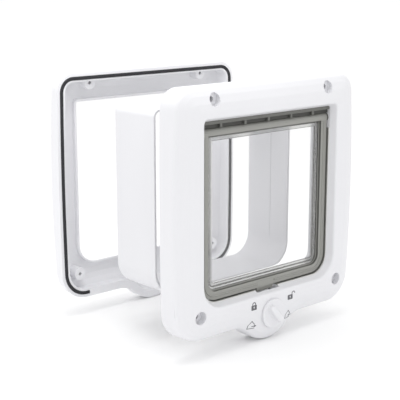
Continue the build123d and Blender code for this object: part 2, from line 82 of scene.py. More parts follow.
def linear(hex_code):
    """Turns an sRGB hex colour into linear RGBA."""
    channels = [int(hex_code[i:i + 2], 16) / 255 for i in (0, 2, 4)]
    curve = [c / 12.92 if c <= 0.04045 else ((c + 0.055) / 1.055) ** 2.4 for c in channels]
    return (*curve, 1.0)


def colour(name, description, hex_code):
    """A colour property with an sRGB default."""
    return FloatVectorProperty(
        name=name, description=description, subtype="COLOR", size=4, min=0, max=1, default=linear(hex_code)
    )


def length(name, description, millimetres):
    """A length property given in millimetres."""
    return FloatProperty(
        name=name, description=description, subtype="DISTANCE", unit="LENGTH", min=0, precision=5,
        default=millimetres * MM,
    )


class CatFlapColours(PropertyGroup):
    """Colours of the plastics, rubber, metal and print, some of them painted shade."""
    shell: colour("Shell white", "White of the frames, the tunnel and the lock", "E6E6E9")
    shell_shade: colour("Shell shade", "Slightly duller white in the moulding's flow", "E3E3E6")
    outside: colour("Outside white", "White of the outside frame", "EDEDF0")
    outside_shade: colour("Outside shade", "Slightly duller white in the outside frame's flow", "E9E9EC")
    rim: colour("Rim grey", "Grey of the flap's surround", "969691")
    # Painted shade: the ledge's inward-looking walls get this deeper grey to stand for the shade on them
    ledge_painted_shade: colour("Ledge grey", "Deeper grey of the ledge inside the flap's surround", "5E5E5A")
    # Partly painted shade: this grey is set darker than the rim's grey partly to stand for the shade over
    # the recessed rail
    rail: colour("Rail grey", "Grey of the hinge rail and the bushes", "6A6A66")
    # Painted shade: the rail darkens towards this grey with depth, standing for the shade down in its
    # pockets
    pocket_painted_shade: colour("Pocket grey", "Darker grey in the hinge rail's pockets", "3C3C38")
    panel: colour("Panel tint", "Tint of the clear panel", "FBFBFB")
    border: colour("Border tint", "Tint of the panel's frosted border", "D2D2D0")
    # Painted shade: the pile darkens from the pale edge tone to this grey with depth, standing for the
    # shade in the gap under the rim
    pile: colour("Pile grey", "Grey of the draught pile", "82827D")
    pile_edge: colour("Pile edge", "Pale grey of the draught strip's bonded front edge", "DCDCDA")
    foam: colour("Foam black", "Black of the weather seal", "28282B")
    ink: colour("Sign ink", "Grey of the printed signs", "5E5E62")
    zinc: colour("Zinc", "Colour of the plated screws", "C9CBCC")
    steel: colour("Steel", "Colour of the axle and the spring", "B7B8B8")
    magnet: colour("Magnet", "Dark coating of the magnets", "3A3B3D")
    floor: colour("Floor", "Pale studio floor", "FFFFFF")


class CatFlapSizes(PropertyGroup):
    """Sizes of the small details, and of the studio."""
    rim_edge: length("Rim edge", "Rounding of the flap rim's edges", 0.6)
    rail_edge: length("Rail edge", "Rounding of the hinge rail's edges", 0.3)
    panel_edge: length("Panel edge", "Rounding of the clear panel's edges", 0.25)
    rim_bead: length("Rim bead", "Radius of the bead on the flap rim's faces", 0.8)
    rim_bead_out: length("Rim bead place", "Distance of that bead outside the panel's edge", 1.6)
    border_bead: length("Border bead", "Radius of the bead on the panel's border", 0.5)
    border_bead_in: length("Border bead place", "Distance of that bead inside the panel's edge", 6.6)
    bead_gap: length("Bead gap", "Room between the rim's beads and its lock tab", 0.6)
    gasket_edge: length("Gasket edge", "Rounding of the foam gasket's edges", 0.7)
    pile_height: length("Pile height", "Height of the pile above its backing", 0.7)
    fibre_width: length("Fibre width", "Thickness of one tuft of fibres at its foot", 0.24)
    fibre_density: FloatProperty(
        name="Fibre density", description="Pile fibres on each square millimetre", default=10.0, min=0.1
    )
    thread_pitch: length("Thread pitch", "Pitch of the self-tapping screws", 1.1)
    recess_width: length("Recess width", "Width of the screws' cross recess", 0.7)
    plate_screw_head: length("Plate screw head", "Height of the lock cover's screw heads", 1.4)
    plate_screw_shank: length("Plate screw shank", "Radius of the lock cover's screws", 1.3)
    knob_screw_head: length("Knob screw head", "Height of the knob screw's head", 1.3)
    knob_screw_shank: length("Knob screw shank", "Radius of the knob screw", 1.5)
    sign_size: length("Sign height", "Height of one printed sign", 7.8)
    sign_reach: length("Sign reach", "Distance of the signs to each side of the knob", 24.5)
    lock_sign_rise: length("Lock sign rise", "Height of the padlock signs above the knob", 11.8)
    house_sign_drop: length("House sign drop", "Depth of the house signs below the knob", 7.2)
    ink_depth: length("Ink depth", "Thickness of the printed ink", 0.12)
    floor_width: length("Floor width", "Width of the studio floor", 40000.0)
    seed: IntProperty(name="Seed", description="Seed of the pile's spread", default=7, min=0)


# Materials


def add(tree, kind, inputs=None, **settings):
    """Adds a node, sets its properties, and sets or links its inputs."""
    node = tree.nodes.new(kind)
    for name, value in settings.items():
        setattr(node, name, value)
    for name, value in (inputs or {}).items():
        if isinstance(value, bpy.types.NodeSocket):
            tree.links.new(value, node.inputs[name])
        elif isinstance(value, list):
            for socket in value:
                tree.links.new(socket, node.inputs[name])
        else:
            node.inputs[name].default_value = value
    return node


def surface(name, inputs, build=None):
    """Makes a material with one shader; build links patterns to it from Object coordinates."""
    made = bpy.data.materials.get(name)
    if made:
        return made
    made = bpy.data.materials.new(name)
    made.use_nodes = True
    tree = made.node_tree
    tree.nodes.clear()
    shader = add(tree, "ShaderNodeBsdfPrincipled", inputs)
    add(tree, "ShaderNodeOutputMaterial", {"Surface": shader.outputs["BSDF"]})
    if build:
        place = add(tree, "ShaderNodeTexCoord").outputs["Object"]
        build(tree, shader, place)
    return made


def toned(tone, factor):
    """The same colour, darker or paler by a factor."""
    return (*(min(1.0, channel * factor) for channel in tone[:3]), 1.0)


def tint(tree, shader, share, first, second):
    """Colours the shader between two tones by a share from 0 to 1."""
    ramp = add(tree, "ShaderNodeValToRGB", {"Fac": share})
    ramp.color_ramp.elements[0].color = first
    ramp.color_ramp.elements[1].color = second
    tree.links.new(ramp.outputs["Color"], shader.inputs["Base Color"])


def per_metre(millimetres):
    """Texture scale for a pattern with this spacing."""
    return 1 / (millimetres * MM)


def mottle(tree, shader, place, first, second, spacing):
    """Drifts the colour between two tones over the given spacing."""
    cloud = add(tree, "ShaderNodeTexNoise", {"Vector": place, "Scale": per_metre(spacing), "Detail": 2.0})
    tint(tree, shader, cloud.outputs["Fac"], first, second)


def blend_in(tree, shader, place, node, first, second, start, end):
    """Blends one colour into another between two depths behind a node's room side; both uses paint shade
    that deepens with depth.
    """
    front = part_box(node)[0].y
    depth = add(tree, "ShaderNodeSeparateXYZ", {"Vector": place}).outputs["Y"]
    behind = add(tree, "ShaderNodeMapRange", {
        "Value": depth, "From Min": front + start * MM, "From Max": front + end * MM,
    })
    tint(tree, shader, behind.outputs["Result"], first, second)


def grain(tree, shader, place, spacing, height, low, high):
    """A bump of the given height, and roughness between two limits.

    Real tool grain is a few hundredths of a millimetre. It is drawn coarser, so that it shows.
    """
    noise = add(tree, "ShaderNodeTexNoise", {"Vector": place, "Scale": per_metre(spacing), "Detail": 3.0})
    bump = add(
        tree, "ShaderNodeBump", {"Height": noise.outputs["Fac"], "Strength": 1.0, "Distance": height * MM}
    )
    tree.links.new(bump.outputs["Normal"], shader.inputs["Normal"])
    rough = add(
        tree, "ShaderNodeMapRange", {"Value": noise.outputs["Fac"], "To Min": low, "To Max": high}
    )
    tree.links.new(rough.outputs["Result"], shader.inputs["Roughness"])


def white_abs(colours):
    """Injection-moulded ABS from a finely spark-eroded tool: clean satin white with soft highlights."""
    def build(tree, shader, place):
        mottle(tree, shader, place, colours.shell, colours.shell_shade, spacing=70)
        grain(tree, shader, place, spacing=0.9, height=0.006, low=0.34, high=0.46)
    return surface("white_moulded_abs", {"IOR": 1.53}, build)


def weather_abs(colours):
    """Weather-resistant ABS of the outside frame: the same satin skin in a slightly brighter white."""
    def build(tree, shader, place):
        mottle(tree, shader, place, colours.outside, colours.outside_shade, spacing=70)
        grain(tree, shader, place, spacing=0.9, height=0.006, low=0.34, high=0.46)
    return surface("white_weather_abs", {"IOR": 1.53}, build)


def grey_abs(colours):
    """Polished grey ABS of the flap's surround: glossier, so its steps catch thin lines of light."""
    def build(tree, shader, place):
        mottle(tree, shader, place, colours.rim, toned(colours.rim, 0.9), spacing=40)
        grain(tree, shader, place, spacing=1.2, height=0.003, low=0.2, high=0.3)
    return surface("grey_polished_abs", {"IOR": 1.53}, build)


def ledge_abs_painted_shade(colours):
    """The same ABS on the surround's inner ledge, left matt by its tool, and painted a deeper grey that
    stands for the shade on the walls that look inwards.
    """
    def build(tree, shader, place):
        mottle(tree, shader, place, colours.ledge_painted_shade, toned(colours.ledge_painted_shade, 0.9), spacing=40)
        grain(tree, shader, place, spacing=0.8, height=0.006, low=0.5, high=0.62)
    return surface("grey_matt_abs_painted_shade", {"IOR": 1.53}, build)


def grey_acetal(colours):
    """Acetal of the axle bushes: dark, waxy and low in gloss; part of that darkness is painted shade."""
    def build(tree, shader, place):
        mottle(tree, shader, place, colours.rail, toned(colours.rail, 0.85), spacing=30)
        grain(tree, shader, place, spacing=0.7, height=0.004, low=0.4, high=0.52)
    return surface("grey_moulded_acetal", {"IOR": 1.48}, build)


def rail_acetal(colours):
    """Acetal of the hinge rail: the same waxy grey, duller and coarse, with painted shade that darkens it
    with depth down in its pockets.
    """
    def build(tree, shader, place):
        # Painted shade: darker with depth behind the rail's front, down into its pockets
        blend_in(tree, shader, place, "hinge_rail", colours.rail, colours.pocket_painted_shade, start=0.4, end=2.4)
        grain(tree, shader, place, spacing=0.7, height=0.006, low=0.42, high=0.58)
    return surface("grey_rail_acetal", {"IOR": 1.48}, build)


def clear_san(colours):
    """Clear styrene sheet: almost colourless, with faint flow waves that bend its reflections."""
    def build(tree, shader, place):
        wave = add(tree, "ShaderNodeTexNoise", {"Vector": place, "Scale": per_metre(45), "Detail": 1.0})
        bump = add(
            tree, "ShaderNodeBump", {"Height": wave.outputs["Fac"], "Strength": 0.4, "Distance": 0.05 * MM}
        )
        tree.links.new(bump.outputs["Normal"], shader.inputs["Normal"])
    inputs = {"Base Color": colours.panel, "Roughness": 0.02, "IOR": 1.49, "Transmission Weight": 1.0}
    return surface("clear_styrene_sheet", inputs, build)


def frosted_san(colours):
    """The panel's raised border, lightly frosted by its tool: it blurs the grey rim that lies behind it."""
    def build(tree, shader, place):
        grain(tree, shader, place, spacing=0.8, height=0.02, low=0.1, high=0.2)
    inputs = {"Base Color": colours.border, "IOR": 1.49, "Transmission Weight": 1.0}
    return surface("frosted_styrene_border", inputs, build)


def nylon_pile(colours):
    """Nylon pile of the draught strip: matt grey fibres, pale at the front edge and darkened with depth
    behind it by painted shade for the gap under the rim.
    """
    def build(tree, shader, place):
        # Painted shade: pale at the front edge, darker with depth into the gap under the rim
        blend_in(tree, shader, place, "draught_seal", colours.pile_edge, colours.pile, start=0.5, end=1.3)
        grain(tree, shader, place, spacing=0.5, height=0.03, low=0.75, high=0.95)
    return surface("grey_nylon_pile", {"Sheen Weight": 0.25, "Sheen Roughness": 0.4}, build)


def foam_rubber(colours):
    """Closed-cell foam rubber: near-black and matt, pitted by its small cells."""
    def build(tree, shader, place):
        mottle(tree, shader, place, colours.foam, toned(colours.foam, 1.6), spacing=6)
        cells = add(tree, "ShaderNodeTexVoronoi", {"Vector": place, "Scale": per_metre(0.9)})
        bump = add(
            tree, "ShaderNodeBump",
            {"Height": cells.outputs["Distance"], "Strength": 0.8, "Distance": 0.15 * MM},
        )
        tree.links.new(bump.outputs["Normal"], shader.inputs["Normal"])
    return surface("black_foam_rubber", {"Roughness": 0.85}, build)


def zinc_plate(colours):
    """Zinc-plated steel of the small screws: bright with a faint spangle."""
    def build(tree, shader, place):
        mottle(tree, shader, place, colours.zinc, toned(colours.zinc, 0.8), spacing=1.2)
        grain(tree, shader, place, spacing=0.4, height=0.004, low=0.22, high=0.38)
    return surface("zinc_plated_steel", {"Metallic": 1.0}, build)


def drawn_steel(colours):
    """Drawn steel of the axle and the leaf spring: fine lines along its length."""
    def build(tree, shader, place):
        stretch = add(tree, "ShaderNodeMapping", {"Vector": place, "Scale": (0.05, 1.0, 1.0)})
        lines = stretch.outputs["Vector"]
        mottle(tree, shader, lines, colours.steel, toned(colours.steel, 0.85), spacing=0.6)
        grain(tree, shader, lines, spacing=0.3, height=0.003, low=0.25, high=0.4)
    return surface("drawn_steel", {"Metallic": 1.0}, build)


def coated_magnet(colours):
    """Ferrite magnet with a dark coat: dull with a slightly pitted skin."""
    def build(tree, shader, place):
        mottle(tree, shader, place, colours.magnet, toned(colours.magnet, 1.3), spacing=2)
        grain(tree, shader, place, spacing=0.5, height=0.01, low=0.5, high=0.65)
    return surface("coated_ferrite", {}, build)


def sign_ink(colours):
    """Pad-printed ink: flat grey with slightly uneven cover."""
    def build(tree, shader, place):
        mottle(tree, shader, place, colours.ink, toned(colours.ink, 1.25), spacing=2.5)
        grain(tree, shader, place, spacing=0.4, height=0.002, low=0.5, high=0.65)
    return surface("grey_printed_ink", {}, build)


def studio_floor(colours):
    """Painted studio floor: pale and matt."""
    def build(tree, shader, place):
        mottle(tree, shader, place, colours.floor, toned(colours.floor, 0.99), spacing=300)
    return surface("pale_studio_floor", {"Roughness": 0.9, "Specular IOR Level": 0.1}, build)


# Helpers for pieces


def paint(node, material):
    """Gives a node of the frame one material."""
    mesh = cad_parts[node].data
    mesh.materials.clear()
    mesh.materials.append(material)


def link(name, data):
    """Links a new object at the origin."""
    piece = bpy.data.objects.new(name, data)
    bpy.context.scene.collection.objects.link(piece)
    return piece


def settle(piece, body, slot, *nodes):
    """Lets a finished piece ride on a body, and hides the nodes that it stands for. The slot is not used.
    """
    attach(piece, body)
    if nodes:
        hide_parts(*nodes)


def merged(node):
    """A merged copy of a node's mesh, with its flat faces whole."""
    work = bmesh.new()
    work.from_mesh(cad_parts[node].data)
    bmesh.ops.remove_doubles(work, verts=work.verts, dist=MERGE_REACH)
    bmesh.ops.dissolve_limit(work, angle_limit=FLAT_ANGLE, verts=work.verts, edges=work.edges)
    return work


def soften(name, node, width, materials, finish=None):
    """A copy of a node with its sharp edges rounded, a finishing touch, and its shading smoothed."""
    work = merged(node)
    sharp = [e for e in work.edges if e.is_manifold and e.calc_face_angle() > SHARP_ANGLE]
    bmesh.ops.bevel(
        work, geom=sharp, offset=width, offset_type="OFFSET", segments=2, profile=0.5,
        affect="EDGES", clamp_overlap=True,
    )
    bmesh.ops.remove_doubles(work, verts=work.verts, dist=MERGE_REACH)
    bmesh.ops.dissolve_degenerate(work, dist=MERGE_REACH, edges=work.edges)
    if finish:
        finish(work)
    bmesh.ops.triangulate(work, faces=work.faces)
    mesh = bpy.data.meshes.new(name)
    work.to_mesh(mesh)
    work.free()
    mesh.shade_smooth()
    mesh.set_sharp_from_angle(angle=FOLD_ANGLE)
    for material in materials:
        mesh.materials.append(material)
    piece = link(name, mesh)
    evened = piece.modifiers.new("evened", "WEIGHTED_NORMAL")
    evened.keep_sharp = True
    graph = bpy.context.evaluated_depsgraph_get()
    piece.data = bpy.data.meshes.new_from_object(piece.evaluated_get(graph))
    piece.modifiers.remove(evened)
    return piece


def new_tree(name, **sockets):
    """An empty geometry tree with named inputs."""
    tree = bpy.data.node_groups.new(name, "GeometryNodeTree")
    tree.interface.new_socket("Geometry", in_out="INPUT", socket_type="NodeSocketGeometry")
    for label, kind in sockets.items():
        tree.interface.new_socket(label, in_out="INPUT", socket_type=f"NodeSocket{kind}")
    tree.interface.new_socket("Geometry", in_out="OUTPUT", socket_type="NodeSocketGeometry")
    return tree


def grow(name, base, tree, **values):
    """Runs a tree on a base mesh and keeps the result as a plain mesh."""
    piece = bpy.data.objects.new(name, base)
    modifier = piece.modifiers.new(name, "NODES")
    modifier.node_group = tree
    for socket in tree.interface.items_tree:
        if socket.in_out == "INPUT" and socket.name in values:
            modifier[socket.identifier] = values[socket.name]
    bpy.context.scene.collection.objects.link(piece)
    graph = bpy.context.evaluated_depsgraph_get()
    mesh = bpy.data.meshes.new_from_object(piece.evaluated_get(graph))
    piece.modifiers.remove(modifier)
    mesh.shade_smooth()
    mesh.set_sharp_from_angle(angle=SHARP_ANGLE)
    piece.data = mesh
    return piece


# Operators


class CATFLAP_OT_shells(Operator):
    """Gives both frames, the tunnel and the lock cover their white plastic"""
    bl_idname = "catflap.shells"
    bl_label = "White shells"

    def execute(self, context):
        colours = context.scene.catflap_colours
        for node in ("interior_frame", "tunnel", "lock_back_plate"):
            paint(node, white_abs(colours))
        paint("exterior_frame", weather_abs(colours))
        return {"FINISHED"}


class CATFLAP_OT_flap(Operator):
    """Gives the swinging flap its rounded grey rim, clear panel, axle and magnets"""
    bl_idname = "catflap.flap"
    bl_label = "Swinging flap"

    # How squarely the ledge's faces look inwards, and how far from the middle the border's faces lie
    ledge_lean = 0.6
    border_share = 0.4

    def execute(self, context):
        colours = context.scene.catflap_colours
        sizes = context.scene.catflap_sizes
        greys = [grey_abs(colours), ledge_abs_painted_shade(colours)]
        rim = soften("rounded_rim", "flap_rim", sizes.rim_edge, greys, self.shade_ledge)
        settle(rim, FLAP_BODY, "grey_plastic", "flap_rim")
        rail = soften("rounded_rail", "hinge_rail", sizes.rail_edge, [rail_acetal(colours)])
        settle(rail, ROOM_BODY, "grey_plastic", "hinge_rail")
        finishes = [clear_san(colours), frosted_san(colours)]
        panel = soften("rounded_panel", "flap_panel", sizes.panel_edge, finishes, self.frost)
        settle(panel, FLAP_BODY, "clear_plastic", "flap_panel")
        paint("hinge_axle", drawn_steel(colours))
        for node in ("flap_magnets", "sill_magnets"):
            paint(node, coated_magnet(colours))
        for node in ("axle_bush_left", "axle_bush_right"):
            paint(node, grey_acetal(colours))
        return {"FINISHED"}

    def shade_ledge(self, work):
        """Gives the rim's faces that look at the middle of the flap the matt finish, with its deeper grey
        of painted shade.
        """
        low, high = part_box("flap_panel")
        middle = (low + high) / 2
        work.normal_update()
        for face in work.faces:
            inwards = middle - face.calc_center_median()
            inwards.y = 0
            if face.normal.dot(inwards.normalized()) > self.ledge_lean:
                # Painted shade: these inward-looking faces take the deeper grey
                face.material_index = 1

    def frost(self, work):
        """Gives the panel's raised border the frosted finish."""
        low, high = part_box("flap_panel")
        middle = (low.y + high.y) / 2
        for face in work.faces:
            if abs(face.calc_center_median().y - middle) > self.border_share * (high.y - low.y):
                face.material_index = 1


class CATFLAP_OT_beads(Operator):
    """Runs thin moulded beads round the faces of the flap's rim and of its panel's border"""
    bl_idname = "catflap.beads"
    bl_label = "Flap beads"

    bend_steps = 12
    foot_reach = 0.1 * MM

    def execute(self, context):
        colours = context.scene.catflap_colours
        sizes = context.scene.catflap_sizes
        # The lock tab is the lowest part of the rim
        tab = self.foot_edge("flap_rim") + sizes.bead_gap
        rim = self.bead("rim_beads", "flap_rim", sizes.rim_bead_out, sizes.rim_bead, tab)
        rim.materials.append(grey_abs(colours))
        settle(link("rim_beads", rim), FLAP_BODY, "grey_plastic")
        border = self.bead("border_beads", "flap_panel", -sizes.border_bead_in, sizes.border_bead)
        border.materials.append(frosted_san(colours))
        settle(link("border_beads", border), FLAP_BODY, "clear_plastic")
        return {"FINISHED"}

    def foot_edge(self, node):
        """How far a node's lowest edge reaches to the right."""
        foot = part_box(node)[0].z
        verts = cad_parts[node].data.vertices
        return max(v.co.x for v in verts if v.co.z < foot + self.foot_reach)

    def path(self, outset):
        """Half of an even line round the panel, from its top to the flat of its foot."""
        low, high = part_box("flap_panel")
        flat = self.foot_edge("flap_panel")
        radius = high.x - flat + outset
        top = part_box("axle_bush_left")[0].z
        turns = [math.pi / 2 * step / self.bend_steps for step in range(self.bend_steps + 1)]
        bend = [(flat + radius * math.cos(a), low.z - outset + radius * (1 - math.sin(a))) for a in turns]
        return [(high.x + outset, top), *bend]

    def bead(self, name, node, outset, radius, gap=0):
        """Mesh of round beads, half sunk in a node's front and back; gap is half an opening at the foot."""
        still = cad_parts[node].data
        body = BVHTree.FromPolygons([v.co for v in still.vertices], [p.vertices for p in still.polygons])
        half = self.path(outset)
        top, foot = half[0][1], half[-1][1]
        lines = [half + [(-x, z) for x, z in reversed(half)]]
        if gap:
            lines = [[(side * x, z) for x, z in [*half, (gap, foot)]] for side in (1, -1)]
        curve = bpy.data.curves.new(name, "CURVE")
        curve.dimensions = "3D"
        curve.bevel_depth = radius
        curve.bevel_resolution = 4
        curve.use_fill_caps = True
        for look in (1, -1):
            start = Vector((half[0][0], -look, (top + foot) / 2))
            face = body.ray_cast(start, Vector((0, look, 0)))[0].y
            for line in lines:
                spline = curve.splines.new("POLY")
                spline.points.add(len(line) - 1)
                for point, (across, height) in zip(spline.points, line):
                    point.co = (across, face, height, 1)
        holder = link(name, curve)
        graph = bpy.context.evaluated_depsgraph_get()
        mesh = bpy.data.meshes.new_from_object(holder.evaluated_get(graph))
        bpy.data.objects.remove(holder)
        mesh.shade_smooth()
        return mesh


class CATFLAP_OT_lock(Operator):
    """Gives the four-way lock its white knob, drum and stops, and its washer and spring"""
    bl_idname = "catflap.lock"
    bl_label = "Four-way lock"

    def execute(self, context):
        colours = context.scene.catflap_colours
        for node in ("lock_knob", "front_stop", "lock_drum", "rear_stop"):
            paint(node, white_abs(colours))
        paint("knob_washer", zinc_plate(colours))
        paint("detent_spring", drawn_steel(colours))
        return {"FINISHED"}


class CATFLAP_OT_gasket(Operator):
    """Rounds the edges of the weather gasket and gives it its foam rubber"""
    bl_idname = "catflap.gasket"
    bl_label = "Weather gasket"

    def execute(self, context):
        sizes = context.scene.catflap_sizes
        finish = foam_rubber(context.scene.catflap_colours)
        gasket = soften("rounded_gasket", "weather_seal", sizes.gasket_edge, [finish])
        settle(gasket, OUTSIDE_BODY, "black_rubber", "weather_seal")
        return {"FINISHED"}


class CATFLAP_OT_pile(Operator):
    """Grows nylon pile on the inner side of the draught strip"""
    bl_idname = "catflap.pile"
    bl_label = "Draught pile"

    # How squarely the bed's faces look inwards, and how far a fibre leans, in radians
    bed_lean = 0.5
    fibre_lean = 0.3

    def execute(self, context):
        sizes = context.scene.catflap_sizes
        backing = self.backing(sizes.pile_height)
        strip = grow(
            "draught_pile", backing, self.tree(), Height=sizes.pile_height, Width=sizes.fibre_width,
            Density=sizes.fibre_density / MM ** 2, Seed=sizes.seed,
            Finish=nylon_pile(context.scene.catflap_colours),
        )
        settle(strip, ROOM_BODY, "grey_rubber", "draught_seal")
        return {"FINISHED"}

    def backing(self, height):
        """The strip with its inner side set back by the pile's height, and that side marked."""
        work = merged("draught_seal")
        work.normal_update()
        mark = work.faces.layers.bool.new("bed")
        moves = {}
        for face in filter(self.faces_in, work.faces):
            face[mark] = True
            for vert in face.verts:
                moves.setdefault(vert, []).append(face.normal.copy())
        for vert, normals in moves.items():
            vert.co -= height * sum(normals, Vector()).normalized()
        bmesh.ops.triangulate(work, faces=work.faces)
        mesh = bpy.data.meshes.new("strip_backing")
        work.to_mesh(mesh)
        work.free()
        return mesh

    def faces_in(self, face):
        """Whether a face looks at the middle of the passage."""
        place = face.calc_center_median()
        inwards = Vector((-place.x, 0, -place.z)).normalized()
        return face.normal.dot(inwards) > self.bed_lean

    def tree(self):
        """Tree that scatters tapered fibres on the marked faces."""
        tree = new_tree(
            "draught_pile", Height="Float", Width="Float", Density="Float", Seed="Int", Finish="Material"
        )
        given = add(tree, "NodeGroupInput").outputs
        bed = add(tree, "GeometryNodeInputNamedAttribute", {"Name": "bed"}, data_type="BOOLEAN")
        scatter = add(tree, "GeometryNodeDistributePointsOnFaces", {
            "Mesh": given["Geometry"], "Selection": bed.outputs["Attribute"],
            "Density": given["Density"], "Seed": given["Seed"],
        })
        radius = add(tree, "ShaderNodeMath", {0: given["Width"], 1: 0.5}, operation="MULTIPLY")
        fibre = add(tree, "GeometryNodeMeshCone", {
            "Vertices": 3, "Radius Top": 0.0, "Radius Bottom": radius.outputs[0], "Depth": given["Height"],
        })
        most = self.fibre_lean
        lean = add(tree, "FunctionNodeRandomValue", {
            0: (-most, -most, 0.0), 1: (most, most, math.tau), "Seed": given["Seed"],
        }, data_type="FLOAT_VECTOR")
        tilt = add(tree, "FunctionNodeEulerToRotation", {"Euler": lean.outputs[0]})
        turn = add(tree, "FunctionNodeRotateRotation", {
            "Rotation": scatter.outputs["Rotation"], "Rotate By": tilt.outputs[0],
        }, rotation_space="LOCAL")
        planted = add(tree, "GeometryNodeInstanceOnPoints", {
            "Points": scatter.outputs["Points"], "Instance": fibre.outputs["Mesh"],
            "Rotation": turn.outputs[0],
        })
        both = add(tree, "GeometryNodeJoinGeometry", {
            "Geometry": [given["Geometry"], planted.outputs["Instances"]],
        })
        whole = add(tree, "GeometryNodeRealizeInstances", {"Geometry": both.outputs["Geometry"]})
        dressed = add(tree, "GeometryNodeSetMaterial", {
            "Geometry": whole.outputs["Geometry"], "Material": given["Finish"],
        })
        add(tree, "NodeGroupOutput", {"Geometry": dressed.outputs["Geometry"]})
        return tree


class CATFLAP_OT_screws(Operator):
    """Makes the self-tapping screws with a domed head, a cross recess and a thread"""
    bl_idname = "catflap.screws"
    bl_label = "Cross-head screws"

    # Each size of the screw that follows one of the tree's inputs, with its share of that input
    shares = {
        "head_middle": ("Crown", 0.5),
        "recess_reach": ("Head", 1.25),
        "slot_rise": ("Crown", 0.95),
        "cross_rise": ("Crown", 0.92),
        "core_radius": ("Shank", 0.8),
        "core_length": ("Length", 1.02),
        "core_middle": ("Length", -0.49),
        "ridge_radius": ("Shank", 0.2),
        "thread_length": ("Length", 0.75),
        "thread_foot": ("Length", -0.85),
    }
    crown_taper = 0.66
    point_taper = 0.3

    def execute(self, context):
        sizes = context.scene.catflap_sizes
        finish = zinc_plate(context.scene.catflap_colours)
        tree = self.tree()
        for node, body, head_height, shank in (
            ("lock_plate_screws", ROOM_BODY, sizes.plate_screw_head, sizes.plate_screw_shank),
            ("knob_screw", LOCK_BODY, sizes.knob_screw_head, sizes.knob_screw_shank),
        ):
            low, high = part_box(node)
            head = (high.z - low.z) / 2
            seat = high.y - head_height
            ends = (low.x + head, high.x - head)
            # A node as narrow as one head holds one screw
            count = 1 if ends[1] - ends[0] < head else 2
            base = bpy.data.meshes.new(node)
            base.from_pydata([(x, seat, low.z + head) for x in ends[:count]], [], [])
            screws = grow(
                f"turned_{node}", base, tree, Head=head, Crown=head_height, Shank=shank,
                Length=seat - low.y, Pitch=sizes.thread_pitch, Recess=sizes.recess_width, Finish=finish,
            )
            settle(screws, body, "steel", node)
        return {"FINISHED"}

    def tree(self):
        """Tree that sets one screw, head towards +Y, on each point."""
        tree = new_tree(
            "cross_head_screw", Head="Float", Crown="Float", Shank="Float", Length="Float", Pitch="Float",
            Recess="Float", Finish="Material",
        )
        given = add(tree, "NodeGroupInput").outputs
        size = {
            name: add(tree, "ShaderNodeMath", {0: given[whole], 1: share}, operation="MULTIPLY").outputs[0]
            for name, (whole, share) in self.shares.items()
        }

        def raised(mesh, height, turn=(0, 0, 0)):
            """A mesh moved along the screw's axis, and turned."""
            lift = add(tree, "ShaderNodeCombineXYZ", {"Z": height}).outputs[0]
            return add(tree, "GeometryNodeTransform", {
                "Geometry": mesh, "Translation": lift, "Rotation": turn,
            }).outputs[0]

        def turned(radius, depth, end, taper, sides, steps):
            """A cylinder whose last step tapers to a share of its radius at one end."""
            rod = add(tree, "GeometryNodeMeshCylinder", {
                "Vertices": sides, "Side Segments": steps, "Radius": radius, "Depth": depth,
            })
            place = add(tree, "GeometryNodeInputPosition").outputs[0]
            drawn_in = add(
                tree, "ShaderNodeVectorMath", {0: place, 1: (taper, taper, 1)}, operation="MULTIPLY"
            )
            return add(tree, "GeometryNodeSetPosition", {
                "Geometry": rod.outputs["Mesh"], "Selection": rod.outputs[end],
                "Position": drawn_in.outputs[0],
            }).outputs[0]

        blank = turned(given["Head"], given["Crown"], "Top", self.crown_taper, sides=40, steps=2)
        bar = add(tree, "ShaderNodeCombineXYZ", {
            "X": size["recess_reach"], "Y": given["Recess"], "Z": given["Crown"],
        })
        blade = add(tree, "GeometryNodeMeshCube", {"Size": bar.outputs[0]}).outputs["Mesh"]
        head = add(tree, "GeometryNodeMeshBoolean", {
            "Mesh 1": raised(blank, size["head_middle"]),
            "Mesh 2": [
                raised(blade, size["slot_rise"]),
                raised(blade, size["cross_rise"], (0, 0, math.pi / 2)),
            ],
        }, operation="DIFFERENCE")
        core = turned(
            size["core_radius"], size["core_length"], "Bottom", self.point_taper, sides=24, steps=7
        )
        turns = add(
            tree, "ShaderNodeMath", {0: size["thread_length"], 1: given["Pitch"]}, operation="DIVIDE"
        )
        helix = add(tree, "GeometryNodeCurveSpiral", {
            "Resolution": 20, "Rotations": turns.outputs[0], "Start Radius": size["core_radius"],
            "End Radius": size["core_radius"], "Height": size["thread_length"],
        })
        ridge = add(tree, "GeometryNodeCurvePrimitiveCircle", {
            "Resolution": 4, "Radius": size["ridge_radius"],
        }, mode="RADIUS")
        thread = add(tree, "GeometryNodeCurveToMesh", {
            "Curve": helix.outputs[0], "Profile Curve": ridge.outputs[0], "Fill Caps": True,
        })
        screw = add(tree, "GeometryNodeJoinGeometry", {"Geometry": [
            head.outputs["Mesh"],
            raised(core, size["core_middle"]),
            raised(thread.outputs["Mesh"], size["thread_foot"]),
        ]})
        placed = add(tree, "GeometryNodeInstanceOnPoints", {
            "Points": given["Geometry"], "Instance": screw.outputs[0], "Rotation": (-math.pi / 2, 0, 0),
        })
        whole = add(tree, "GeometryNodeRealizeInstances", {"Geometry": placed.outputs[0]})
        dressed = add(tree, "GeometryNodeSetMaterial", {
            "Geometry": whole.outputs["Geometry"], "Material": given["Finish"],
        })
        add(tree, "NodeGroupOutput", {"Geometry": dressed.outputs["Geometry"]})
        return tree


